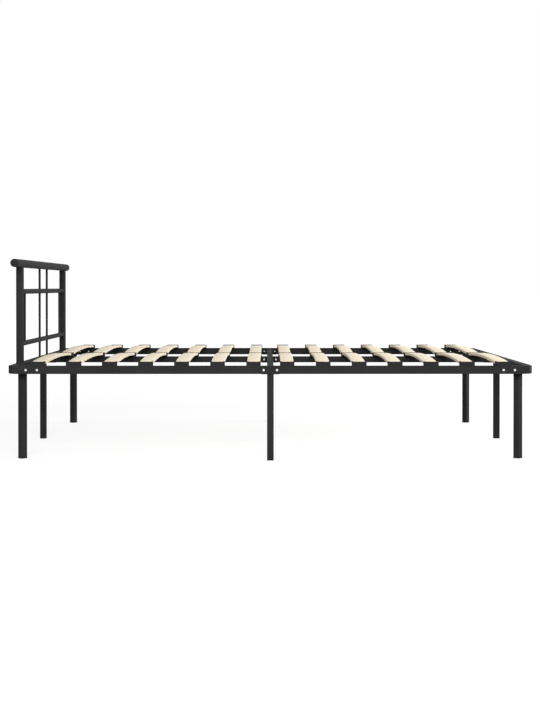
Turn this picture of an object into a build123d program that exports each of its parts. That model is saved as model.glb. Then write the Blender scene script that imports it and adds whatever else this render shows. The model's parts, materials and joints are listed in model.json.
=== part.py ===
from build123d import *
import os

# A steel bed frame with a headboard and two rows of sprung slats.
# X runs from the head end (-X) to the foot end (+X), Y across the bed, Z up from the floor.
# Left is -Y and right is +Y, as seen from the foot end. All sizes are in millimetres.

# Overall sizes
length = 1975.0
width = 1400.0
rail_axis_height = 339.0

# Square tube of the side rails and the bent end frames
rail_size = 30.0
rail_wall = 1.2
rail_edge_chamfer = 1.5
bend_outer_radius = 50.0

# Square tube of the centre rail and the cross beams
centre_size = 25.0
centre_wall = 1.2
centre_edge_chamfer = 1.2

# Square tube of the legs, and where the turned corner legs stand
leg_size = 25.0
leg_wall = 1.2
leg_edge_chamfer = 1.2
corner_leg_from_end = 47.7
corner_leg_from_side = 71.6
foot_cap_height = 5.0
foot_plug_length = 14.0
foot_plug_wall = 1.8

# Joints between the rails
seam_from_end = 94.0
seam_gap = 0.6
splice_length = 84.0
splice_wall = 1.5
corner_bolt_spacing = 42.0
centre_bolt_spacing = 50.0
saddle_length = 66.0
saddle_sheet = 1.2
saddle_fold_chamfer = 1.2
saddle_lip = 2.0
bracket_length = 40.0
bracket_rail_gap = 2.5
gusset_thickness = 4.0
gusset_along_x = 70.0
gusset_along_y = 95.0

# Bolts and nuts, which are many, so their round parts have a few flat sides
bolt_diameter = 6.0
bolt_head_diameter = 10.0
bolt_head_height = 3.2
bolt_head_sides = 12
bolt_shank_sides = 6
nut_flats = 10.0
nut_height = 5.0

# Slats
slats_per_half = 7
slat_width = 50.0
slat_thickness = 10.0
slat_rise = 11.0
first_slat_from_centre = 63.0
last_slat_from_end_bar = 84.5

# Plastic slat holders
holder_floor = 2.0
holder_roof = 1.6
holder_side_wall = 1.7
holder_back_wall = 3.0
holder_depth = 36.0
holder_setback = 1.0
holder_mid_wall = 4.0
holder_edge_chamfer = 2.5
holder_mid_depth = 60.0
peg_size = 8.0
peg_length = 8.0

# Headboard
post_diameter = 30.0
post_from_side = 191.0
tube_wall = 1.2
top_rail_diameter = 32.0
top_rail_overhang = 107.0
top_rail_height = 741.0
crossbar_diameter = 20.0
upper_crossbar_height = 632.0
lower_crossbar_height = 428.0
rod_diameter = 9.5
rod_sides = 12
centre_rod_spacing = 172.0
side_rod_from_post = 95.0
end_cap_height = 6.0
end_cap_chamfer = 3.5
end_cap_plug_length = 14.0
end_cap_plug_sides = 12

# Clearances
sliding_clearance = 0.2
bolt_clearance = 0.25
peg_clearance = 0.2
slat_clearance = 0.3
slat_seat_clearance = 0.1
slat_end_gap = 1.5
weld_gap = 0.15

# Places worked out from the sizes above
end_bar_x = length / 2 - rail_size / 2
end_bar_inner_x = length / 2 - rail_size
side_rail_y = width / 2 - rail_size / 2
side_rail_inner_y = width / 2 - rail_size
rail_top = rail_axis_height + rail_size / 2
rail_bottom = rail_axis_height - rail_size / 2
centre_top = rail_axis_height + centre_size / 2
centre_bottom = rail_axis_height - centre_size / 2
seam_x = length / 2 - seam_from_end
corner_bolt_x = (seam_x - corner_bolt_spacing / 2, seam_x + corner_bolt_spacing / 2)
centre_bolt_x = centre_bolt_spacing / 2
corner_leg_x = length / 2 - corner_leg_from_end
corner_leg_y = width / 2 - corner_leg_from_side
bracket_bolt_x = end_bar_inner_x - bracket_length / 2
headboard_x = -end_bar_x
post_y = width / 2 - post_from_side
top_rail_length = 2 * (post_y + top_rail_overhang)
side_rod_y = post_y - side_rod_from_post
slat_pitch = (end_bar_inner_x - last_slat_from_end_bar - first_slat_from_centre) / (slats_per_half - 1)
slat_floor = rail_top + holder_floor
slat_seat = slat_floor + slat_seat_clearance
slat_outer_y = width / 2 - holder_setback - holder_back_wall - slat_end_gap
slat_inner_y = holder_mid_wall / 2 + slat_end_gap
slat_length = slat_outer_y - slat_inner_y
slat_middle_y = (slat_outer_y + slat_inner_y) / 2
pocket_depth = holder_depth - holder_back_wall
slat_in_pocket = pocket_depth - slat_end_gap
slat_lift_at_mouth = slat_rise * (1 - (1 - 2 * slat_in_pocket / slat_length) ** 2)
pocket_height = slat_seat_clearance + slat_thickness + slat_lift_at_mouth + slat_clearance
pocket_width = slat_width + 2 * slat_clearance
holder_width = pocket_width + 2 * holder_side_wall
holder_top = slat_floor + pocket_height + holder_roof

SIDES = {"left": -1, "right": 1}
ENDS = {"head": -1, "foot": 1}


def slat_places():
    """X of the slats from head to foot."""
    half = [first_slat_from_centre + slat_pitch * i for i in range(slats_per_half)]
    return [-x for x in reversed(half)] + half


def square(size, edge_chamfer):
    """A square with its corners cut off."""
    return chamfer(Rectangle(size, size).vertices(), edge_chamfer)


def tube_section(size, wall, edge_chamfer):
    return square(size, edge_chamfer) - Rectangle(size - 2 * wall, size - 2 * wall)


def tube_along_x(size, wall, edge_chamfer, start_x, end_x):
    """A square tube from start_x to end_x, its axis on the X axis."""
    section = Plane.YZ * tube_section(size, wall, edge_chamfer)
    return Pos(start_x, 0, 0) * extrude(section, end_x - start_x)


def round_tube(diameter, wall, tube_length):
    """A round tube that stands on the origin."""
    return extrude(Circle(diameter / 2) - Circle(diameter / 2 - wall), tube_length)


def upright(diameter, tall):
    """A round bar that stands on the origin."""
    return extrude(Circle(diameter / 2), tall)


def faceted(diameter, sides, tall):
    """A bar with flat sides in place of a round one. It stands on the origin."""
    return extrude(RegularPolygon(diameter / 2, sides, major_radius=False), tall)


def across(shape):
    """Turns a shape made along +Z to run along +Y."""
    return Rot(X=-90) * shape


def bolt_hole(x, y, across_size):
    """A clearance hole along Y through a rail of the given size."""
    hole = faceted(bolt_diameter + 2 * bolt_clearance, bolt_shank_sides, 2 * across_size)
    return Pos(x, y - across_size, rail_axis_height) * across(hole)


def peg_hole(x, y, top):
    """A square hole for a holder's peg, cut through a tube's top wall."""
    hole_size = peg_size + 2 * peg_clearance
    hole = extrude(Rectangle(hole_size, hole_size), 2 * peg_length)
    return Pos(x, y, top - peg_length - peg_clearance) * hole


def end_frame(end):
    """The bent tube across one end, with a short return along each side."""
    corners = (
        (seam_x + seam_gap / 2, -side_rail_y, rail_axis_height),
        (end_bar_x, -side_rail_y, rail_axis_height),
        (end_bar_x, side_rail_y, rail_axis_height),
        (seam_x + seam_gap / 2, side_rail_y, rail_axis_height),
    )
    path = FilletPolyline(*corners, radius=bend_outer_radius - rail_size / 2)
    start = Plane(origin=corners[0], x_dir=(0, 1, 0), z_dir=(1, 0, 0))
    frame = sweep(start * tube_section(rail_size, rail_wall, rail_edge_chamfer), path=path)
    for side in SIDES.values():
        frame -= bolt_hole(corner_bolt_x[1], side * side_rail_y, rail_size)
    return Rot(Z=90 - 90 * ENDS[end]) * frame


def side_rail(end, side):
    """Half of a side rail, from the middle of the bed to the seam with the end frame."""
    rail = tube_along_x(rail_size, rail_wall, rail_edge_chamfer, seam_gap / 2, seam_x - seam_gap / 2)
    rail = Rot(Z=90 - 90 * ENDS[end]) * rail
    rail = Pos(0, SIDES[side] * side_rail_y, rail_axis_height) * rail
    for x in (centre_bolt_x, corner_bolt_x[0]):
        rail -= bolt_hole(ENDS[end] * x, SIDES[side] * side_rail_y, rail_size)
    for x in slat_places():
        if x * ENDS[end] > 0:
            rail -= peg_hole(x, SIDES[side] * side_rail_y, rail_top)
    return rail


def centre_rail(end):
    """Half of the centre rail, from the middle of the bed to the bracket on the end frame."""
    rail_end = end_bar_inner_x - bracket_rail_gap
    rail = tube_along_x(centre_size, centre_wall, centre_edge_chamfer, seam_gap / 2, rail_end)
    rail = Pos(0, 0, rail_axis_height) * Rot(Z=90 - 90 * ENDS[end]) * rail
    for x in (centre_bolt_x, bracket_bolt_x):
        rail -= bolt_hole(ENDS[end] * x, 0, centre_size)
    for x in slat_places():
        if x * ENDS[end] > 0:
            rail -= peg_hole(x, 0, centre_top)
    return rail


def splice(end, side):
    """The inner tube that joins a side rail to an end frame's return."""
    size = rail_size - 2 * rail_wall - 2 * sliding_clearance
    tube = tube_along_x(size, splice_wall, rail_edge_chamfer, -splice_length / 2, splice_length / 2)
    y = SIDES[side] * side_rail_y
    tube = Pos(ENDS[end] * seam_x, y, rail_axis_height) * tube
    for x in corner_bolt_x:
        tube -= bolt_hole(ENDS[end] * x, y, rail_size)
    return tube - peg_hole(ENDS[end] * slat_places()[-1], y, rail_top)


def channel(rail, channel_length):
    """A folded U channel, centred in X, that a rail of the given size drops into."""
    inner = rail + 2 * sliding_clearance
    outer = inner + 2 * saddle_sheet
    tall = rail - saddle_lip + saddle_sheet
    block = Pos(0, tall / 2 - saddle_sheet) * Rectangle(outer, tall)
    block = chamfer(block.vertices().sort_by(Axis.Y)[:2], saddle_fold_chamfer)
    hollow = Pos(0, rail / 2) * Rectangle(inner, rail)
    return Pos(-channel_length / 2, 0, 0) * extrude(Plane.YZ * (block - hollow), channel_length)


def saddle(y, rail, bottom):
    """The channel on a centre leg, where two rail halves meet."""
    shape = Pos(0, y, bottom) * channel(rail, saddle_length)
    for x in (-centre_bolt_x, centre_bolt_x):
        shape -= bolt_hole(x, y, 2 * rail)
    return shape


def rail_bracket(end):
    """The channel on an end bar that takes the centre rail's end."""
    shape = Pos(ENDS[end] * bracket_bolt_x, 0, centre_bottom) * channel(centre_size, bracket_length)
    return shape - bolt_hole(ENDS[end] * bracket_bolt_x, 0, 2 * centre_size)


def cross_beam(side):
    """The tube between the centre saddle and a side saddle."""
    wall_reach = sliding_clearance + saddle_sheet
    start = centre_size / 2 + wall_reach
    stop = side_rail_inner_y - wall_reach
    beam = tube_along_x(centre_size, centre_wall, centre_edge_chamfer, start, stop)
    return Pos(0, 0, rail_axis_height) * Rot(Z=90 * SIDES[side]) * beam


def gusset(end, side):
    """A welded corner plate, its corner cut back to clear the bend."""
    cut = bend_outer_radius - rail_size
    outline = Polyline(
        (-cut, 0),
        (-gusset_along_x, 0),
        (0, -gusset_along_y),
        (0, -cut),
        close=True,
    )
    plate = extrude(make_face(outline), gusset_thickness)
    plate = Pos(end_bar_inner_x, side_rail_inner_y, rail_bottom) * plate
    if SIDES[side] < 0:
        plate = mirror(plate, Plane.XZ)
    if ENDS[end] < 0:
        plate = mirror(plate, Plane.YZ)
    return plate


def leg(top):
    """A square tube from its foot cap up to the given height."""
    section = tube_section(leg_size, leg_wall, leg_edge_chamfer)
    return Pos(0, 0, foot_cap_height) * extrude(section, top - foot_cap_height)


def foot_cap():
    """A moulded cap under a leg, with a hollow plug inside the tube."""
    plug = leg_size - 2 * leg_wall - 2 * sliding_clearance
    cap = extrude(square(leg_size, leg_edge_chamfer), foot_cap_height)
    wall = Rectangle(plug, plug) - Rectangle(plug - 2 * foot_plug_wall, plug - 2 * foot_plug_wall)
    return cap + Pos(0, 0, foot_cap_height) * extrude(wall, foot_plug_length)


def leg_places():
    """Each leg's name with its X, Y, turn about Z and top."""
    places = {}
    for end, ex in ENDS.items():
        for side, sy in SIDES.items():
            places[f"corner_leg_{end}_{side}"] = (ex * corner_leg_x, sy * corner_leg_y, 45, rail_bottom)
        places[f"end_leg_{end}"] = (ex * end_bar_x, 0, 0, rail_bottom)
    for side, sy in SIDES.items():
        places[f"centre_leg_{side}"] = (0, sy * side_rail_y, 0, rail_bottom - saddle_sheet)
    places["centre_leg_middle"] = (0, 0, 0, centre_bottom - saddle_sheet)
    return places


def bolt(grip):
    """A bolt along +Z with its head below the origin, and the nut at its far end."""
    head = faceted(bolt_head_diameter, bolt_head_sides, bolt_head_height)
    shank = faceted(bolt_diameter, bolt_shank_sides, grip + nut_height)
    thread = faceted(bolt_diameter + 2 * weld_gap, bolt_shank_sides, nut_height)
    nut = faceted(nut_flats, 6, nut_height) - thread
    return [Pos(0, 0, -bolt_head_height) * head + shank, Pos(0, 0, grip) * nut]


def frame_bolts():
    """Every bolt and nut of the frame, as separate solids."""
    pieces = []
    saddle_reach = sliding_clearance + saddle_sheet
    for ex in ENDS.values():
        for sy in SIDES.values():
            turn = Rot(Z=90 + 90 * sy)
            for x in corner_bolt_x:
                place = Pos(ex * x, sy * width / 2, rail_axis_height)
                pieces += [place * turn * across(piece) for piece in bolt(rail_size)]
            place = Pos(ex * centre_bolt_x, sy * (width / 2 + saddle_reach), rail_axis_height)
            pieces += [place * turn * across(piece) for piece in bolt(rail_size + 2 * saddle_reach)]
        for x in (centre_bolt_x, bracket_bolt_x):
            place = Pos(ex * x, -centre_size / 2 - saddle_reach, rail_axis_height)
            pieces += [place * across(piece) for piece in bolt(centre_size + 2 * saddle_reach)]
    return pieces


def slat(x, side):
    """A sprung slat, arched along its length and set with its ends on the pocket floors."""
    half = slat_length / 2
    top = slat_seat + slat_thickness
    under = ThreePointArc((-half, slat_seat), (0, slat_seat + slat_rise), (half, slat_seat))
    over = ThreePointArc((half, top), (0, top + slat_rise), (-half, top))
    outline = [under, Line(under @ 1, over @ 0), over, Line(over @ 1, under @ 0)]
    board = extrude(Plane.YZ * make_face(outline), slat_width / 2, both=True)
    return Pos(x, SIDES[side] * slat_middle_y, 0) * board


def holder_block(seat, depth):
    """The outside of a slat holder, with its upper edges cut off, standing on a rail's top."""
    tall = holder_top - seat
    face = Pos(0, seat + tall / 2) * Rectangle(holder_width, tall)
    face = chamfer(face.vertices().sort_by(Axis.Y)[-2:], holder_edge_chamfer)
    return extrude(Plane.XZ * face, depth / 2, both=True)


def pocket(start_y):
    """The space for a slat's end, open towards +Y from the given place."""
    face = Pos(0, slat_floor + pocket_height / 2) * Rectangle(pocket_width, pocket_height)
    return Pos(0, start_y, 0) * extrude(Plane.XZ * face, -holder_mid_depth)


def peg(seat):
    return Pos(0, 0, seat - peg_length) * extrude(Rectangle(peg_size, peg_size), peg_length)


def side_holder():
    """A holder on the left rail: closed outwards, open towards the middle of the bed."""
    outer_y = -rail_size / 2 + holder_setback
    block = Pos(0, outer_y + holder_depth / 2, 0) * holder_block(rail_top, holder_depth)
    return block - pocket(outer_y + holder_back_wall) + peg(rail_top)


def centre_holder():
    """A double holder on the centre rail, with a pocket towards each side."""
    block = holder_block(centre_top, holder_mid_depth)
    opening = pocket(holder_mid_wall / 2)
    return block - opening - mirror(opening, Plane.XZ) + peg(centre_top)


def headboard_posts():
    """The two posts, their tops coped to the top rail that lies on them."""
    rail_space = upright(top_rail_diameter + 2 * weld_gap, width)
    rail_space = Pos(headboard_x, -width / 2, top_rail_height) * across(rail_space)
    posts = {}
    for side, sy in SIDES.items():
        post = round_tube(post_diameter, tube_wall, top_rail_height - rail_top)
        posts[side] = Pos(headboard_x, sy * post_y, rail_top) * post - rail_space
    return posts


def crossbar(height):
    """A tube between the posts, coped to them."""
    bar = across(round_tube(crossbar_diameter, tube_wall, 2 * post_y))
    bar = Pos(headboard_x, -post_y, height) * bar
    post_space = upright(post_diameter + 2 * weld_gap, 2 * crossbar_diameter)
    for sy in SIDES.values():
        bar -= Pos(headboard_x, sy * post_y, height - crossbar_diameter) * post_space
    return bar


def top_rail():
    rail = across(round_tube(top_rail_diameter, tube_wall, top_rail_length))
    return Pos(headboard_x, -top_rail_length / 2, top_rail_height) * rail


def rod(y, start, stop):
    """A thin upright between two bars, from the top of one to the underside of the next."""
    tall = stop - start - 2 * weld_gap
    return Pos(headboard_x, y, start + weld_gap) * faceted(rod_diameter, rod_sides, tall)


def headboard_rods():
    """Three rods in line up each side of the middle, and one near each post."""
    half_bar = crossbar_diameter / 2
    lower_gap = (rail_top, lower_crossbar_height - half_bar)
    middle_gap = (lower_crossbar_height + half_bar, upper_crossbar_height - half_bar)
    upper_gap = (upper_crossbar_height + half_bar, top_rail_height - top_rail_diameter / 2)
    rods = []
    for sy in SIDES.values():
        for start, stop in (lower_gap, middle_gap, upper_gap):
            rods.append(rod(sy * centre_rod_spacing / 2, start, stop))
        rods.append(rod(sy * side_rod_y, *middle_gap))
    return rods


def end_cap():
    """A plug for the top rail with a bevelled head, made along +Z from the tube's end."""
    head = upright(top_rail_diameter, end_cap_height)
    head = chamfer(head.edges().sort_by(Axis.Z)[-1:], end_cap_chamfer)
    plug_radius = top_rail_diameter / 2 - tube_wall - sliding_clearance
    plug = extrude(RegularPolygon(plug_radius, end_cap_plug_sides), end_cap_plug_length)
    return head + Pos(0, 0, -end_cap_plug_length) * plug


def save(name, shape):
    """Writes one node. A list of pieces becomes a group of separate solids."""
    if isinstance(shape, list):
        shape = Compound(children=[Part() + piece for piece in shape])
    export_step(shape, f"parts/{name}.step")


os.makedirs("parts", exist_ok=True)

for end in ENDS:
    save(f"{end}_end_frame", end_frame(end))
    save(f"centre_rail_{end}", centre_rail(end))
    for side in SIDES:
        save(f"side_rail_{end}_{side}", side_rail(end, side))

corners = [(end, side) for end in ENDS for side in SIDES]
save("corner_splices", [splice(end, side) for end, side in corners])
save("corner_gussets", [gusset(end, side) for end, side in corners])

saddles = [saddle(sy * side_rail_y, rail_size, rail_bottom) for sy in SIDES.values()]
saddles.append(saddle(0, centre_size, centre_bottom))
saddles += [rail_bracket(end) for end in ENDS]
save("rail_saddles", saddles)
save("cross_beams", [cross_beam(side) for side in SIDES])

caps = []
for name, (x, y, turn, top) in leg_places().items():
    place = Pos(x, y, 0) * Rot(Z=turn)
    save(name, place * leg(top))
    caps.append(place * foot_cap())
save("foot_caps", caps)
save("frame_bolts", frame_bolts())

side_holders = []
for side, sy in SIDES.items():
    for number, x in enumerate(slat_places(), start=1):
        save(f"slat_{side}_{number:02d}", slat(x, side))
        side_holders.append(Pos(x, sy * side_rail_y, 0) * Rot(Z=90 + 90 * sy) * side_holder())
save("side_slat_holders", side_holders)
save("centre_slat_holders", [Pos(x, 0, 0) * centre_holder() for x in slat_places()])

for side, post in headboard_posts().items():
    save(f"headboard_post_{side}", post)
save("headboard_top_rail", top_rail())
save("headboard_upper_crossbar", crossbar(upper_crossbar_height))
save("headboard_lower_crossbar", crossbar(lower_crossbar_height))
save("headboard_rods", headboard_rods())
caps = []
for sy in SIDES.values():
    place = Pos(headboard_x, sy * top_rail_length / 2, top_rail_height)
    caps.append(place * Rot(X=-90 * sy) * end_cap())
save("top_rail_end_caps", caps)
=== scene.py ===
# %% [markdown]
# # A steel bed frame with sprung slats
# The tubes, legs and brackets come from the part's own CAD model, and they keep its sizes.
# This script adds what a plain model lacks: the powder coat, the birch slats with their veneers,
# rounded plastic holders, zinc bolts with sockets, and the weld beads of the headboard.

# %% Load the frame
import json
import math

import bpy
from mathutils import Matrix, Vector


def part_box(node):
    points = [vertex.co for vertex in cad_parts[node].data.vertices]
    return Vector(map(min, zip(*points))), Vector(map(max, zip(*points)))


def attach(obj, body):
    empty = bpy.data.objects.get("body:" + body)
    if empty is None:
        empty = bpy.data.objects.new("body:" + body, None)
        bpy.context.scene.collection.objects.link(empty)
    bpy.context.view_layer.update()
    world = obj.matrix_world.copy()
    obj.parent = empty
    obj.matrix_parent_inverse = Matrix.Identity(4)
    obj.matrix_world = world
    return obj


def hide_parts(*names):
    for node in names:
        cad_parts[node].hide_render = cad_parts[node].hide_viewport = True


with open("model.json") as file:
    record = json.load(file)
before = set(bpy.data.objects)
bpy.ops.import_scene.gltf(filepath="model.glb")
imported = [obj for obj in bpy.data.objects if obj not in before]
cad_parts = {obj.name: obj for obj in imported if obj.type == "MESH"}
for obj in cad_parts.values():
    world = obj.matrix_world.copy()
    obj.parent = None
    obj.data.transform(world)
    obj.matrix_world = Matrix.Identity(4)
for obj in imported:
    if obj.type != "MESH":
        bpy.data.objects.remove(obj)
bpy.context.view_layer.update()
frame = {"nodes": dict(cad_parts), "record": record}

nodes = frame["nodes"]
MM = 0.001

# %% [markdown]
# ## The camera
# A product photo of a bed is taken from far away with a long lens, so that its near side isn't swollen.
# The place and lens below were solved from the straight tubes in the picture. The lens is shifted and
# hardly tilted, as on an architect's camera, because the legs stand upright in the picture.

# %% Camera
photo_height = 720
sensor_size = 36.0
focal_length_px = 1261.4
level_row = 295.8
camera_place = Vector((-0.0118, -5.4128, 0.6509))
camera_pitch_down = math.radians(0.418)
camera_turn_right = math.radians(0.126)

bpy.ops.object.select_all(action="DESELECT")
bpy.ops.object.camera_add(
    location=camera_place,
    rotation=(math.pi / 2 - camera_pitch_down, 0, -camera_turn_right),
)
camera = bpy.context.object
camera.name = "photo camera"
camera.data.sensor_width = sensor_size
camera.data.lens = focal_length_px * sensor_size / photo_height
camera.data.shift_y = level_row / photo_height - 0.5
bpy.context.scene.camera = camera
print("Camera lens", round(camera.data.lens, 2), "mm, shift", round(camera.data.shift_y, 4))

# %% [markdown]
# ## The studio
# The picture has a plain white ground. A white room would flood the black paint with light, so the
# white is given only to rays that come from the camera or from a reflection, and the light that falls
# on the bed is set apart from it. The floor glows by itself, a little less under the bed than far away,
# so that it joins the white ground without a horizon and still keeps a faint shadow.
# A lamp beyond the foot end lights the slats from the right, and a wide one behind the camera
# lights the front faces of the tubes. The zinc bolts would mirror that one as glaring dots, so it is
# left out of reflections.

# %% Room
scene = bpy.context.scene
scene.view_settings.view_transform = "Standard"


def add_node(tree, kind, **settings):
    """Adds a node to a node tree and sets its properties or sockets by name."""
    node = tree.nodes.new(kind)
    for key, value in settings.items():
        if key in node.inputs:
            node.inputs[key].default_value = value
        else:
            setattr(node, key, value)
    return node


def seen_directly(tree):
    """1 for rays from the camera, a mirror or glass, and 0 for light that falls on the bed."""
    path = add_node(tree, "ShaderNodeLightPath")
    either = add_node(tree, "ShaderNodeMath", operation="MAXIMUM")
    any_of_them = add_node(tree, "ShaderNodeMath", operation="MAXIMUM")
    tree.links.new(path.outputs["Is Camera Ray"], either.inputs[0])
    tree.links.new(path.outputs["Is Glossy Ray"], either.inputs[1])
    tree.links.new(either.outputs[0], any_of_them.inputs[0])
    tree.links.new(path.outputs["Is Transmission Ray"], any_of_them.inputs[1])
    return any_of_them.outputs[0]


white = (1, 1, 1, 1)
room_light = 0.33
world = bpy.data.worlds.new("white room")
scene.world = world
world.use_nodes = True
room = world.node_tree
room.nodes.clear()
lit_side = add_node(room, "ShaderNodeBackground", Color=white, Strength=room_light)
white_side = add_node(room, "ShaderNodeBackground", Color=white, Strength=1.0)
room_mix = add_node(room, "ShaderNodeMixShader")
room_out = add_node(room, "ShaderNodeOutputWorld")
room.links.new(seen_directly(room), room_mix.inputs[0])
room.links.new(lit_side.outputs[0], room_mix.inputs[1])
room.links.new(white_side.outputs[0], room_mix.inputs[2])
room.links.new(room_mix.outputs[0], room_out.inputs[0])
print("Room light", room_light)

# %% Floor
floor_size = 40.0
floor_white = 0.30
glow_near = 0.81
glow_far = 1.0
glow_near_to = 1.5
glow_far_from = 7.0
shadow_share = 0.24

bpy.ops.object.select_all(action="DESELECT")
bpy.ops.mesh.primitive_plane_add(size=floor_size, location=(0, 0, 0))
floor = bpy.context.object
floor.name = "studio floor"
floor_paint = bpy.data.materials.new("studio floor")
floor_paint.use_nodes = True
tree = floor_paint.node_tree
tree.nodes.clear()
matt = add_node(tree, "ShaderNodeBsdfDiffuse", Color=(floor_white, floor_white, floor_white, 1))
shadowed = add_node(tree, "ShaderNodeBsdfDiffuse", Color=(shadow_share, shadow_share, shadow_share, 1))
glow = add_node(tree, "ShaderNodeEmission")
from_middle = add_node(tree, "ShaderNodeVectorMath", operation="LENGTH")
fade = add_node(tree, "ShaderNodeMapRange")
fade.inputs["From Min"].default_value = glow_near_to
fade.inputs["From Max"].default_value = glow_far_from
fade.inputs["To Min"].default_value = glow_near
fade.inputs["To Max"].default_value = glow_far
floor_place = add_node(tree, "ShaderNodeTexCoord")
tree.links.new(floor_place.outputs["Object"], from_middle.inputs[0])
tree.links.new(from_middle.outputs["Value"], fade.inputs["Value"])
tree.links.new(fade.outputs["Result"], glow.inputs["Strength"])
as_seen = add_node(tree, "ShaderNodeAddShader")
floor_mix = add_node(tree, "ShaderNodeMixShader")
floor_out = add_node(tree, "ShaderNodeOutputMaterial")
tree.links.new(shadowed.outputs[0], as_seen.inputs[0])
tree.links.new(glow.outputs[0], as_seen.inputs[1])
tree.links.new(seen_directly(tree), floor_mix.inputs[0])
tree.links.new(matt.outputs[0], floor_mix.inputs[1])
tree.links.new(as_seen.outputs[0], floor_mix.inputs[2])
tree.links.new(floor_mix.outputs[0], floor_out.inputs[0])
floor.data.materials.append(floor_paint)
print("Floor of", floor_size, "m")

# %% Lamps


def add_soft_lamp(name, place, aim, wide, tall, watts):
    """A soft box at one point that faces another."""
    place, aim = Vector(place), Vector(aim)
    turn = (aim - place).to_track_quat("-Z", "Y").to_euler()
    bpy.ops.object.select_all(action="DESELECT")
    bpy.ops.object.light_add(type="AREA", location=place, rotation=turn)
    lamp = bpy.context.object
    lamp.name = name
    lamp.data.shape = "RECTANGLE"
    lamp.data.size = wide
    lamp.data.size_y = tall
    lamp.data.energy = watts
    return lamp


foot_lamp = add_soft_lamp(
    "foot lamp", place=(4.0, 1.5, 1.45), aim=(0, 0, 0.35), wide=2.2, tall=1.6, watts=230
)
front_lamp = add_soft_lamp(
    "front lamp", place=(0, -5.9, 2.2), aim=(0, 0, 0.4), wide=4.0, tall=2.0, watts=412
)
front_lamp.visible_glossy = False
print("Lamps:", foot_lamp.name, "and", front_lamp.name)

# %% [markdown]
# ## The finishes
# Every finish is made of nodes that read Object coordinates. The pieces lie in one common frame, so no
# two slats show the same grain, and nothing has to be unwrapped.
# The powder coat is a dark grey with a fine orange peel, which a Bump node gives without any geometry.

# %% Helpers for the finishes


def new_finish(name):
    """A material with one Principled shader. Gives back the material, its tree and its shader."""
    finish = bpy.data.materials.new(name)
    finish.use_nodes = True
    tree = finish.node_tree
    return finish, tree, tree.nodes["Principled BSDF"]


def place_in_object(tree, scale=(1, 1, 1)):
    """Object coordinates, stretched by the given scale."""
    coordinates = add_node(tree, "ShaderNodeTexCoord")
    stretch = add_node(tree, "ShaderNodeMapping", Scale=scale)
    tree.links.new(coordinates.outputs["Object"], stretch.inputs["Vector"])
    return stretch.outputs["Vector"]


def noise(tree, vector, scale, detail=3.0):
    """A soft cloudy pattern, as a value from 0 to 1."""
    cloud = add_node(tree, "ShaderNodeTexNoise", Scale=scale, Detail=detail)
    tree.links.new(vector, cloud.inputs["Vector"])
    return cloud.outputs["Fac"]


def colour_between(tree, factor, dark, light, low=0.3, high=0.7):
    """A ramp from one colour to another."""
    ramp = add_node(tree, "ShaderNodeValToRGB")
    ramp.color_ramp.elements[0].position = low
    ramp.color_ramp.elements[0].color = (*dark, 1)
    ramp.color_ramp.elements[1].position = high
    ramp.color_ramp.elements[1].color = (*light, 1)
    tree.links.new(factor, ramp.inputs["Fac"])
    return ramp.outputs["Color"]


def value_between(tree, factor, low, high):
    """A value that goes from low to high with a pattern."""
    spread = add_node(tree, "ShaderNodeMapRange")
    spread.inputs["To Min"].default_value = low
    spread.inputs["To Max"].default_value = high
    tree.links.new(factor, spread.inputs["Value"])
    return spread.outputs["Result"]


def bump(tree, shader, height, strength, distance):
    """Lets a pattern tilt the surface a little."""
    relief = add_node(tree, "ShaderNodeBump", Strength=strength, Distance=distance)
    tree.links.new(height, relief.inputs["Height"])
    tree.links.new(relief.outputs["Normal"], shader.inputs["Normal"])


print("Finish helpers are ready")

# %% Powder coat, mouldings and zinc
patch_scale = 9.0
peel_depth = 0.3 * MM


def dark_finish(name, dark, light, gloss, rough, peel_scale, peel):
    """A dark coat or moulding with a fine relief."""
    finish, tree, shader = new_finish(name)
    place = place_in_object(tree)
    patches = noise(tree, place, patch_scale)
    tree.links.new(colour_between(tree, patches, dark, light), shader.inputs["Base Color"])
    tree.links.new(value_between(tree, patches, *rough), shader.inputs["Roughness"])
    shader.inputs["Specular IOR Level"].default_value = gloss
    bump(tree, shader, noise(tree, place, peel_scale, detail=2.0), peel, peel_depth)
    return finish


powder_coat = dark_finish(
    "black powder coat",
    dark=(0.020, 0.020, 0.0205),
    light=(0.025, 0.025, 0.026),
    gloss=0.03,
    rough=(0.62, 0.70),
    peel_scale=700.0,
    peel=0.08,
)
holder_plastic = dark_finish(
    "black holder plastic",
    dark=(0.019, 0.019, 0.020),
    light=(0.023, 0.023, 0.024),
    gloss=0.03,
    rough=(0.64, 0.72),
    peel_scale=1500.0,
    peel=0.10,
)
cap_plastic = dark_finish(
    "black cap plastic",
    dark=(0.017, 0.017, 0.017),
    light=(0.020, 0.020, 0.020),
    gloss=0.04,
    rough=(0.52, 0.60),
    peel_scale=400.0,
    peel=0.06,
)

nut_black = dark_finish(
    "black zinc plate",
    dark=(0.020, 0.020, 0.021),
    light=(0.030, 0.030, 0.031),
    gloss=0.10,
    rough=(0.50, 0.60),
    peel_scale=900.0,
    peel=0.05,
)

zinc_dark = (0.76, 0.77, 0.78)
zinc_light = (0.90, 0.90, 0.90)
zinc_rough = (0.26, 0.38)
zinc_spangle_scale = 350.0

zinc, tree, shader = new_finish("bright zinc plate")
spangle = noise(tree, place_in_object(tree), zinc_spangle_scale, detail=4.0)
tree.links.new(colour_between(tree, spangle, zinc_dark, zinc_light), shader.inputs["Base Color"])
tree.links.new(value_between(tree, spangle, *zinc_rough), shader.inputs["Roughness"])
shader.inputs["Metallic"].default_value = 1.0
print("Finishes:", powder_coat.name, holder_plastic.name, cap_plastic.name, nut_black.name, zinc.name)

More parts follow.
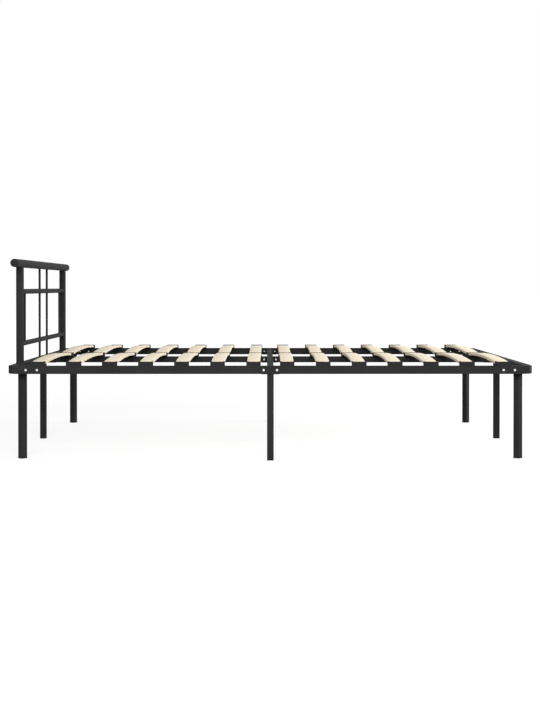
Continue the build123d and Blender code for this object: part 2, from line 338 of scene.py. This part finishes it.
# %% [markdown]
# ## Birch
# A sprung slat is glued from thin birch veneers and bent in a press. Its broad faces show a pale, fine
# grain along the board. Its edges show the veneers as bands that follow the arch, so the band pattern
# needs the height above the arch and not just Z. Math nodes work that out from the slat's own size.

# %% Birch finish
slat_low, slat_high = [Vector(corner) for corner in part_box("slat_left_01")]
slat_thickness = 10 * MM
slat_rise = slat_high.z - slat_low.z - slat_thickness
slat_half_length = (slat_high.y - slat_low.y) / 2
slat_middle_y = abs(slat_high.y + slat_low.y) / 2
veneers = 7
fine_grain_scale = (260, 5, 260)
broad_grain_scale = (26, 1.2, 26)
face_dark = (0.79, 0.69, 0.51)
face_light = (0.87, 0.79, 0.63)
face_tint = (0.82, 0.71, 0.52)
face_tint_share = 0.45
edge_dark = (0.62, 0.52, 0.36)
edge_light = (0.81, 0.71, 0.54)
edge_facing = 0.6
birch_rough = (0.42, 0.55)
birch_gloss = 0.15
grain_relief = 0.15
grain_depth = 0.2 * MM


def math_node(tree, operation, first, second=None):
    """One Math node. An input is a socket or a plain number."""
    node = add_node(tree, "ShaderNodeMath", operation=operation)
    for index, value in enumerate((first, second)):
        if value is None:
            continue
        if isinstance(value, (int, float)):
            node.inputs[index].default_value = value
        else:
            tree.links.new(value, node.inputs[index])
    return node.outputs[0]


def mix_colour(tree, factor, first, second):
    """Blends two colours. A colour is a socket or three numbers."""
    blend = add_node(tree, "ShaderNodeMix", data_type="RGBA")
    tree.links.new(factor, blend.inputs["Factor"])
    for socket, value in ((blend.inputs[6], first), (blend.inputs[7], second)):
        if isinstance(value, tuple):
            socket.default_value = (*value, 1)
        else:
            tree.links.new(value, socket)
    return blend.outputs[2]


birch, tree, shader = new_finish("clear coated birch")
coordinates = add_node(tree, "ShaderNodeTexCoord")
axes = add_node(tree, "ShaderNodeSeparateXYZ")
tree.links.new(coordinates.outputs["Object"], axes.inputs[0])
facing = add_node(tree, "ShaderNodeSeparateXYZ")
tree.links.new(coordinates.outputs["Normal"], facing.inputs[0])

fine_grain = noise(tree, place_in_object(tree, fine_grain_scale), scale=1.0, detail=5.0)
broad_grain = noise(tree, place_in_object(tree, broad_grain_scale), scale=1.0)
face_colour = colour_between(tree, fine_grain, face_dark, face_light)
tint = math_node(tree, "MULTIPLY", broad_grain, face_tint_share)
tinted = mix_colour(tree, tint, face_colour, face_tint)

from_centre = math_node(tree, "ABSOLUTE", axes.outputs["Y"])
along = math_node(tree, "SUBTRACT", from_centre, slat_middle_y)
share = math_node(tree, "DIVIDE", along, slat_half_length)
share_squared = math_node(tree, "POWER", math_node(tree, "ABSOLUTE", share), 2.0)
sag = math_node(tree, "MULTIPLY", share_squared, slat_rise)
above_seat = math_node(tree, "SUBTRACT", axes.outputs["Z"], slat_low.z + slat_rise)
above_arch = math_node(tree, "ADD", above_seat, sag)
layer = math_node(tree, "MULTIPLY", above_arch, veneers / slat_thickness)
band = math_node(tree, "PINGPONG", layer, 1.0)
edge_colour = colour_between(tree, band, edge_dark, edge_light, low=0.35, high=0.65)
sideways = math_node(tree, "ABSOLUTE", facing.outputs["X"])
on_edge = math_node(tree, "GREATER_THAN", sideways, edge_facing)
tree.links.new(mix_colour(tree, on_edge, tinted, edge_colour), shader.inputs["Base Color"])
tree.links.new(value_between(tree, fine_grain, *birch_rough), shader.inputs["Roughness"])
shader.inputs["Specular IOR Level"].default_value = birch_gloss
bump(tree, shader, fine_grain, grain_relief, grain_depth)
print("Birch with", veneers, "veneers, rise", round(slat_rise / MM, 1), "mm")

# %% [markdown]
# ## Painting the CAD pieces
# The part's record names a material slot for every piece. A table turns each slot into a finish, and a
# loop puts it on. The pieces that are modelled below take the same finishes.

# %% Finishes on the CAD pieces
FINISHES = {
    "frame_paint": powder_coat,
    "slat_wood": birch,
    "holder_plastic": holder_plastic,
    "cap_plastic": cap_plastic,
    "bolt_zinc": zinc,
}
for subpart in frame["record"]["subparts"]:
    piece = nodes[subpart["node"]]
    piece.data.materials.clear()
    piece.data.materials.append(FINISHES[subpart["material_slot"]])
print("Painted", len(nodes), "CAD pieces")

# %% [markdown]
# ## Modelling by hand, in code
# Each piece below starts from a primitive, and edit mode gives it its shape: faces are picked by where
# they are or which way they face, then inset, extruded, cut or scaled. A bevel at the end rounds the
# edges, because a real edge always catches a line of light. What repeats is modelled once and copied.

# %% Helpers for modelling
same_way = 0.95
touching = 0.1 * MM
sharp_angle = math.radians(40)
smooth_angle = math.radians(35)


def all_deselected():
    """Object mode with nothing selected."""
    if bpy.context.mode != "OBJECT":
        bpy.ops.object.mode_set(mode="OBJECT")
    bpy.ops.object.select_all(action="DESELECT")


def place_applied():
    """Moves the object's place, turn and scale into its mesh."""
    bpy.ops.object.transform_apply(location=True, rotation=True, scale=True)


def add_block(name, low, high):
    """A box between two corners."""
    low, high = Vector(low), Vector(high)
    all_deselected()
    bpy.ops.mesh.primitive_cube_add(size=1, location=(low + high) / 2)
    block = bpy.context.object
    block.name = name
    block.scale = high - low
    place_applied()
    return block


def add_drum(name, place, radius, tall, sides=32, turn=(0, 0, 0)):
    """A cylinder with its middle at the given place."""
    all_deselected()
    bpy.ops.mesh.primitive_cylinder_add(
        vertices=sides, radius=radius, depth=tall, location=place, rotation=turn
    )
    drum = bpy.context.object
    drum.name = name
    place_applied()
    return drum


def pick(piece, kind, wanted):
    """Selects the faces, edges or vertices that pass a test, and stays in edit mode."""
    bpy.ops.object.mode_set(mode="EDIT")
    bpy.ops.mesh.select_mode(type=kind)
    bpy.ops.mesh.select_all(action="DESELECT")
    bpy.ops.object.mode_set(mode="OBJECT")
    mesh = piece.data
    parts = {"FACE": mesh.polygons, "EDGE": mesh.edges, "VERT": mesh.vertices}[kind]
    for part in parts:
        part.select = wanted(part)
    bpy.ops.object.mode_set(mode="EDIT")


def pick_facing(piece, direction):
    """Selects the faces that look the given way."""
    direction = Vector(direction)
    pick(piece, "FACE", lambda face: face.normal.dot(direction) > same_way)


def pick_rim(piece, y):
    """Selects the edges that lie at the given Y."""

    def at_y(edge):
        return all(abs(piece.data.vertices[index].co.y - y) < touching for index in edge.vertices)

    pick(piece, "EDGE", at_y)


def rounded(piece, width, segments=3):
    """Rounds every sharp edge with a bevel and applies it."""
    bpy.ops.object.mode_set(mode="OBJECT")
    bevel = piece.modifiers.new("rounding", "BEVEL")
    bevel.width = width
    bevel.segments = segments
    bevel.limit_method = "ANGLE"
    bevel.angle_limit = sharp_angle
    bpy.ops.object.modifier_apply(modifier=bevel.name)
    bpy.ops.object.shade_smooth_by_angle(angle=smooth_angle)


def copied(piece, shift=(0, 0, 0), turn=0):
    """A copy with its own mesh, turned about the vertical axis and then moved."""
    all_deselected()
    piece.select_set(True)
    bpy.context.view_layer.objects.active = piece
    bpy.ops.object.duplicate(linked=False)
    copy = bpy.context.object
    copy.rotation_euler.z = turn
    copy.location = shift
    place_applied()
    return copy


def joined(name, pieces):
    """Several pieces as one object."""
    all_deselected()
    for piece in pieces:
        piece.select_set(True)
    bpy.context.view_layer.objects.active = pieces[0]
    bpy.ops.object.join()
    whole = bpy.context.object
    whole.name = name
    return whole


def finished(piece, finish, slot, *replaced):
    """Gives a piece its finish, lets it ride on the bed, and hides the CAD nodes that it stands for."""
    piece.data.materials.clear()
    piece.data.materials.append(finish)
    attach(piece, "root")
    if replaced:
        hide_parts(*replaced)


def removed(piece):
    """Deletes a pattern piece after its copies are made."""
    bpy.data.objects.remove(piece)


def cut_away(piece, cutter):
    """Takes the shape of a cutter out of a piece, deletes the cutter and leaves the piece active."""
    all_deselected()
    cut = piece.modifiers.new("cut", "BOOLEAN")
    cut.object = cutter
    cut.operation = "DIFFERENCE"
    piece.select_set(True)
    bpy.context.view_layer.objects.active = piece
    bpy.ops.object.modifier_apply(modifier=cut.name)
    removed(cutter)


print("Modelling helpers are ready")

# %% [markdown]
# ## The slats
# A slat is a thin board, arched along its length, with softly rounded long edges. A box is cut across
# its length into short stretches, each stretch is lifted onto the arch by a formula, and the bevel
# rounds the edges. Bending by a modifier would also work, but the formula keeps the ends on their seats.

# %% Slats
slat_stretches = 24
slat_edge_round = 1.6 * MM

pattern = add_block("slat pattern", slat_low, (slat_high.x, slat_high.y, slat_low.z + slat_thickness))
lengthwise = slat_high.y - slat_low.y


def runs_lengthwise(edge):
    """True for the four long edges of the box."""
    ends = [pattern.data.vertices[index].co for index in edge.vertices]
    return abs(ends[0].y - ends[1].y) > 0.9 * lengthwise


pick(pattern, "EDGE", runs_lengthwise)
bpy.ops.mesh.subdivide(number_cuts=slat_stretches - 1)
bpy.ops.object.mode_set(mode="OBJECT")
for vertex in pattern.data.vertices:
    share = (abs(vertex.co.y) - slat_middle_y) / slat_half_length
    vertex.co.z += slat_rise * (1 - share**2)
rounded(pattern, slat_edge_round)

slat_names = sorted(name for name in nodes if name.startswith("slat_"))
for name in slat_names:
    shift = Vector(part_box(name)[0]) - slat_low
    board = copied(pattern, shift)
    board.name = name.replace("slat", "slat_board")
    finished(board, birch, "slat_wood", name)
removed(pattern)
print("Made", len(slat_names), "slats of", len(board.data.polygons), "faces each")

# %% [markdown]
# ## The slat holders
# A holder is a moulded plastic shoe. It stands on the rail and has a pocket for the slat's end. The
# pocket is an inset of the face that looks into the bed, pushed inwards. A thin step round the mouth and
# a shallow panel in the outer face are what the mould leaves on the real piece. The roof over the slat is
# notched, so that the slat shows nearly up to its end. A block with two rounded corners cuts the notch.
# A double holder on the centre rail is open at the top, and a low wall keeps its two slats apart.

# %% Holders on the side rails
side_rail_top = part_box("side_rail_head_left")[1][2]
side_low, side_high = [Vector(corner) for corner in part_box("side_slat_holders")]
slat_middle_x = (slat_low.x + slat_high.x) / 2
holder_half_width = slat_middle_x - side_low.x
holder_depth = 36 * MM
holder_side_wall = 1.7 * MM
pocket_depth = 33 * MM
mouth_step = 1.2 * MM
panel_margin = 4.0 * MM
panel_depth = 0.6 * MM
holder_round = 1.3 * MM
notch_width = 42 * MM
notch_corner = 7 * MM
notch_length = 80 * MM
notch_depth = holder_side_wall + touching
roof_left = 9 * MM


def notched(holder, start, wide, roof_top):
    """Cuts the roof of a holder away from a given Y to beyond the mouth of its pocket."""
    low = (slat_middle_x - wide / 2, start, roof_top - notch_depth)
    high = (slat_middle_x + wide / 2, start + notch_length, roof_top + notch_depth)
    cutter = add_block("notch", low, high)

    def is_inner_corner(edge):
        first, second = [cutter.data.vertices[index].co for index in edge.vertices]
        at_start = max(first.y, second.y) < start + touching
        return at_start and abs(first.z - second.z) > touching

    pick(cutter, "EDGE", is_inner_corner)
    bpy.ops.mesh.bevel(offset=notch_corner, segments=5)
    cut_away(holder, cutter)


holder = add_block(
    "side holder pattern",
    (slat_middle_x - holder_half_width, side_low.y, side_rail_top),
    (slat_middle_x + holder_half_width, side_low.y + holder_depth, side_high.z),
)
pick_facing(holder, (0, 1, 0))
bpy.ops.mesh.inset(thickness=holder_side_wall)
bpy.ops.transform.translate(value=(0, -mouth_step, 0))
bpy.ops.mesh.extrude_region_move(TRANSFORM_OT_translate={"value": (0, mouth_step - pocket_depth, 0)})
pick_facing(holder, (0, -1, 0))
bpy.ops.mesh.inset(thickness=panel_margin)
bpy.ops.transform.translate(value=(0, panel_depth, 0))
notched(holder, side_low.y + roof_left, notch_width, side_high.z)
rounded(holder, holder_round)

slat_middles = [(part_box(name)[0][0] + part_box(name)[1][0]) / 2 for name in slat_names]
row_middles = sorted(set(round(x, 5) for x in slat_middles))
side_holders = []
for x in row_middles:
    side_holders.append(copied(holder, (x - slat_middle_x, 0, 0)))
    side_holders.append(copied(holder, (x + slat_middle_x, 0, 0), math.pi))
removed(holder)
side_holder_row = joined("side_rail_slat_shoes", side_holders)
finished(side_holder_row, holder_plastic, "holder_plastic", "side_slat_holders")
print("Made", len(side_holders), "side holders")

# %% Holders on the centre rail
centre_low, centre_high = [Vector(corner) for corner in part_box("centre_slat_holders")]
centre_rail_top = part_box("centre_rail_head")[1][2]
centre_pocket_depth = 28 * MM

holder = add_block(
    "centre holder pattern",
    (slat_middle_x - holder_half_width, centre_low.y, centre_rail_top),
    (slat_middle_x + holder_half_width, centre_high.y, centre_high.z),
)
for way in (1, -1):
    pick_facing(holder, (0, way, 0))
    bpy.ops.mesh.inset(thickness=holder_side_wall)
    bpy.ops.transform.translate(value=(0, -way * mouth_step, 0))
    inwards = way * (mouth_step - centre_pocket_depth)
    bpy.ops.mesh.extrude_region_move(TRANSFORM_OT_translate={"value": (0, inwards, 0)})
whole_roof = 4 * holder_half_width
notched(holder, centre_low.y - 2 * notch_corner, whole_roof, centre_high.z)
rounded(holder, holder_round)
centre_holders = [copied(holder, (x - slat_middle_x, 0, 0)) for x in row_middles]
removed(holder)
centre_holder_row = joined("centre_rail_slat_shoes", centre_holders)
finished(centre_holder_row, holder_plastic, "holder_plastic", "centre_slat_holders")
print("Made", len(centre_holders), "centre holders")

# %% [markdown]
# ## The bolts
# The rails are held by zinc-plated bolts with a low domed head and a hexagon socket. The hexagon nut on
# the other side is plated black, so that only the bolt's tip stands out there. The dome is a wide bevel
# on a drum. The socket is cut with a Boolean, because an inset of a round face would give a round hole.

# %% Bolts and nuts
bolt_head_radius = 4.7 * MM
bolt_head_height = 3.2 * MM
socket_radius = 2.3 * MM
socket_depth = 1.9 * MM
dome_share = 0.6
hexagon = 6
bolt_radius = 3.0 * MM
nut_radius = 5.77 * MM
nut_height = 5.0 * MM
nut_collar = 0.9 * MM
thread_depth = 0.4 * MM
nut_round = 0.35 * MM
along_y = (math.pi / 2, 0, 0)

head_middle = (0, -bolt_head_height / 2, 0)
head = add_drum("bolt head", head_middle, bolt_head_radius, bolt_head_height, turn=along_y)
pick_rim(head, -bolt_head_height)
bpy.ops.mesh.bevel(offset=dome_share * bolt_head_height, segments=4)
bpy.ops.object.mode_set(mode="OBJECT")
head_top = (0, -bolt_head_height, 0)
socket = add_drum("socket", head_top, socket_radius, 2 * socket_depth, hexagon, along_y)
cut_away(head, socket)
bpy.ops.object.shade_smooth_by_angle(angle=smooth_angle)

nut = add_drum("nut", (0, nut_height / 2, 0), nut_radius, nut_height, hexagon, along_y)
pick_facing(nut, (0, 1, 0))
bpy.ops.mesh.inset(thickness=nut_radius - bolt_radius - nut_collar)
bpy.ops.mesh.extrude_region_move(TRANSFORM_OT_translate={"value": (0, -thread_depth, 0)})
rounded(nut, nut_round, 2)
tip_middle = (0, nut_height - thread_depth / 2, 0)
tip = add_drum("bolt tip", tip_middle, bolt_radius, thread_depth, turn=along_y)

side_rail_low, side_rail_high = [Vector(corner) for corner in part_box("side_rail_foot_left")]
rail_middle_z = (side_rail_low.z + side_rail_high.z) / 2
saddle_low, saddle_high = [Vector(corner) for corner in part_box("rail_saddles")]
centre_rail_half_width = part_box("centre_rail_foot")[1][1]
saddle_wall = side_rail_low.y - saddle_low.y
seam_x = side_rail_high.x
corner_bolt_half_spacing = 21 * MM
middle_bolt_x = 25 * MM
bracket_half_length = 20 * MM
bracket_bolt_x = saddle_high.x - bracket_half_length
outer_y = -side_rail_low.y
inner_y = -side_rail_high.y
centre_y = centre_rail_half_width + saddle_wall
bolt_ends = []
nuts = []


def bolt_through(x, head_y, nut_y):
    """A head at one side of a rail and a nut at the other. The head looks to -Y, or to +Y if turned."""
    turn = 0 if head_y < nut_y else math.pi
    bolt_ends.append(copied(head, (x, head_y, rail_middle_z), turn))
    bolt_ends.append(copied(tip, (x, nut_y, rail_middle_z), turn))
    nuts.append(copied(nut, (x, nut_y, rail_middle_z), turn))


for end in (-1, 1):
    for side in (-1, 1):
        for offset in (-corner_bolt_half_spacing, corner_bolt_half_spacing):
            bolt_through(end * (seam_x + offset), side * outer_y, side * inner_y)
        bolt_through(end * middle_bolt_x, side * (outer_y + saddle_wall), side * (inner_y - saddle_wall))
    for x in (middle_bolt_x, bracket_bolt_x):
        bolt_through(end * x, -centre_y, centre_y)
removed(head)
removed(tip)
removed(nut)
all_bolts = joined("zinc_bolts", bolt_ends)
finished(all_bolts, zinc, "bolt_zinc", "frame_bolts")
all_nuts = joined("black_nuts", nuts)
finished(all_nuts, nut_black, "bolt_zinc", "frame_bolts")
print("Made", len(nuts), "bolts with nuts")

# %% [markdown]
# ## The headboard's rods
# Eight thin rods stand between the bars, and each end is welded on. A drum is cut across near both ends,
# the end rings are widened into weld fillets, and their edges are dropped onto the bar they stand on, so
# that no slit is left between a flat end and a round bar.

# %% Rods
upper_bar_low, upper_bar_high = [Vector(corner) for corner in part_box("headboard_upper_crossbar")]
lower_bar_low, lower_bar_high = [Vector(corner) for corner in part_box("headboard_lower_crossbar")]
top_rail_low, top_rail_high = [Vector(corner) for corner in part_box("headboard_top_rail")]
rod_low, rod_high = [Vector(corner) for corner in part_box("headboard_rods")]
headboard_x = (rod_low.x + rod_high.x) / 2
rod_radius = 4.75 * MM
rod_sides = 24
centre_rod_y = 86 * MM
side_rod_y = rod_high.y - rod_radius
weld_height = 2.0 * MM
weld_spread = 1.35
weld_smooth_angle = math.radians(50)


def bar_surface(low, high, x, upper):
    """Height of a round bar's upper or lower surface at the given X."""
    radius = (high.z - low.z) / 2
    reach = math.sqrt(max(0.0, radius**2 - (x - headboard_x) ** 2))
    return (low.z + high.z) / 2 + (reach if upper else -reach)


def add_rod(y, start, stop, foot_bar, head_bar):
    """A round rod with welded ends. A bar is the two corners of its box, or None for a flat face."""
    rod = add_drum("rod", (headboard_x, y, (start + stop) / 2), rod_radius, stop - start, rod_sides)
    bpy.ops.object.mode_set(mode="EDIT")
    for z in (start + weld_height, stop - weld_height):
        bpy.ops.mesh.select_all(action="SELECT")
        bpy.ops.mesh.bisect(plane_co=(headboard_x, y, z), plane_no=(0, 0, 1))
    for z, bar, upper in ((start, foot_bar, True), (stop, head_bar, False)):
        pick(rod, "VERT", lambda vertex: abs(vertex.co.z - z) < touching)
        bpy.ops.transform.resize(
            value=(weld_spread, weld_spread, 1), center_override=(headboard_x, y, z)
        )
        bpy.ops.object.mode_set(mode="OBJECT")
        for vertex in rod.data.vertices:
            if bar and vertex.select:
                vertex.co.z = bar_surface(*bar, vertex.co.x, upper)
    bpy.ops.object.shade_smooth_by_angle(angle=weld_smooth_angle)
    return rod


end_bar_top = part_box("head_end_frame")[1][2]
lower_bar, upper_bar = (lower_bar_low, lower_bar_high), (upper_bar_low, upper_bar_high)
rail_bar = (top_rail_low, top_rail_high)
rods = []
for side in (-1, 1):
    y = side * centre_rod_y
    rods.append(add_rod(y, end_bar_top, lower_bar_low.z, None, lower_bar))
    rods.append(add_rod(y, lower_bar_high.z, upper_bar_low.z, lower_bar, upper_bar))
    rods.append(add_rod(y, upper_bar_high.z, top_rail_low.z, upper_bar, rail_bar))
    rods.append(add_rod(side * side_rod_y, lower_bar_high.z, upper_bar_low.z, lower_bar, upper_bar))
welded_rods = joined("welded_headboard_rods", rods)
finished(welded_rods, powder_coat, "frame_paint", "headboard_rods")
print("Made", len(rods), "rods")

# %% [markdown]
# ## The weld beads
# Where a post or a bar meets another tube, the welder leaves a rippled bead. A torus is the start. Its
# ring is pushed onto the curved tube by a formula, and a small wave along the ring makes the ripple.

# %% Weld beads
bead_radius = 1.9 * MM
ripples = 26
ripple_height = 0.25 * MM
post_low, post_high = [Vector(corner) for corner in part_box("headboard_post_right")]
post_y = (post_low.y + post_high.y) / 2
post_radius = (post_high.y - post_low.y) / 2
crossbar_radius = (upper_bar_high.z - upper_bar_low.z) / 2
top_rail_middle = (top_rail_low.z + top_rail_high.z) / 2
top_rail_radius = (top_rail_high.z - top_rail_low.z) / 2
bead_reach = top_rail_radius - touching
inside_tube = 0.98


def add_bead(place, ring_radius, turn=(0, 0, 0)):
    """A rippled ring round a tube."""
    place = Vector(place)
    all_deselected()
    bpy.ops.mesh.primitive_torus_add(
        location=(0, 0, 0), major_radius=ring_radius, minor_radius=bead_radius,
        major_segments=3 * ripples, minor_segments=8,
    )
    bead = bpy.context.object
    for vertex in bead.data.vertices:
        angle = math.atan2(vertex.co.y, vertex.co.x)
        core = Vector((math.cos(angle), math.sin(angle), 0)) * ring_radius
        swell = 1 + ripple_height / bead_radius * math.sin(ripples * angle)
        vertex.co = core + (vertex.co - core) * swell
        vertex.co.x = max(-bead_reach, min(bead_reach, vertex.co.x))
    bead.rotation_euler = turn
    bead.location = place
    place_applied()
    bpy.ops.object.shade_smooth()
    return bead


beads = []
for side in (-1, 1):
    y = side * post_y
    beads.append(add_bead((headboard_x, y, end_bar_top), post_radius))
    bead = add_bead((headboard_x, y, top_rail_middle), post_radius)
    for vertex in bead.data.vertices:
        across = min(abs(vertex.co.x - headboard_x), inside_tube * top_rail_radius)
        vertex.co.z -= math.sqrt(top_rail_radius**2 - across**2)
    beads.append(bead)
    for bar_low, bar_high in (lower_bar, upper_bar):
        middle_z = (bar_low.z + bar_high.z) / 2
        bead = add_bead((headboard_x, y, middle_z), crossbar_radius, along_y)
        for vertex in bead.data.vertices:
            across = min(abs(vertex.co.x - headboard_x), inside_tube * post_radius)
            vertex.co.y -= side * math.sqrt(post_radius**2 - across**2)
        beads.append(bead)
weld_beads = joined("headboard_weld_beads", beads)
finished(weld_beads, powder_coat, "frame_paint")
print("Made", len(beads), "weld beads")

# %% [markdown]
# ## The caps
# Plastic caps close the open tubes. The cap of the top rail is a shallow dome, made by rounding the rim
# of a drum over nearly its whole height. A foot cap is a low block with a small waist where it meets the
# leg, which shows as a fine dark line in daylight.

# %% Caps of the top rail
cap_outer_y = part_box("top_rail_end_caps")[1][1]
cap_height = cap_outer_y - top_rail_high.y
cap_dome_share = 0.9
cap_sides = 48
end_caps = []
for side in (-1, 1):
    middle = (headboard_x, side * (top_rail_high.y + cap_height / 2), top_rail_middle)
    cap = add_drum("end cap", middle, top_rail_radius, cap_height, cap_sides, along_y)
    pick_rim(cap, side * cap_outer_y)
    bpy.ops.mesh.bevel(offset=cap_dome_share * cap_height, segments=8)
    bpy.ops.object.mode_set(mode="OBJECT")
    bpy.ops.object.shade_smooth_by_angle(angle=smooth_angle)
    end_caps.append(cap)
rail_caps = joined("domed_rail_caps", end_caps)
finished(rail_caps, cap_plastic, "cap_plastic", "top_rail_end_caps")
print("Made", len(end_caps), "end caps of", round(cap_height / MM, 1), "mm")

# %% Foot caps
leg_size = 25 * MM
waist_height = 0.8 * MM
waist_inset = 0.5 * MM
foot_round = 1.0 * MM
foot_caps = []
leg_names = sorted(name for name in nodes if "_leg_" in name)
for name in leg_names:
    leg_low, leg_high = [Vector(corner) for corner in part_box(name)]
    middle = (leg_low + leg_high) / 2
    half = leg_size / 2
    cap = add_block("foot cap", (-half, -half, 0), (half, half, leg_low.z - waist_height))
    pick_facing(cap, (0, 0, 1))
    bpy.ops.mesh.inset(thickness=waist_inset)
    bpy.ops.mesh.extrude_region_move(TRANSFORM_OT_translate={"value": (0, 0, waist_height)})
    rounded(cap, foot_round)
    cap.rotation_euler.z = math.pi / 4 if name.startswith("corner") else 0
    cap.location = (middle.x, middle.y, 0)
    place_applied()
    foot_caps.append(cap)
feet = joined("leg_foot_caps", foot_caps)
finished(feet, cap_plastic, "cap_plastic", "foot_caps")
print("Made", len(foot_caps), "foot caps")
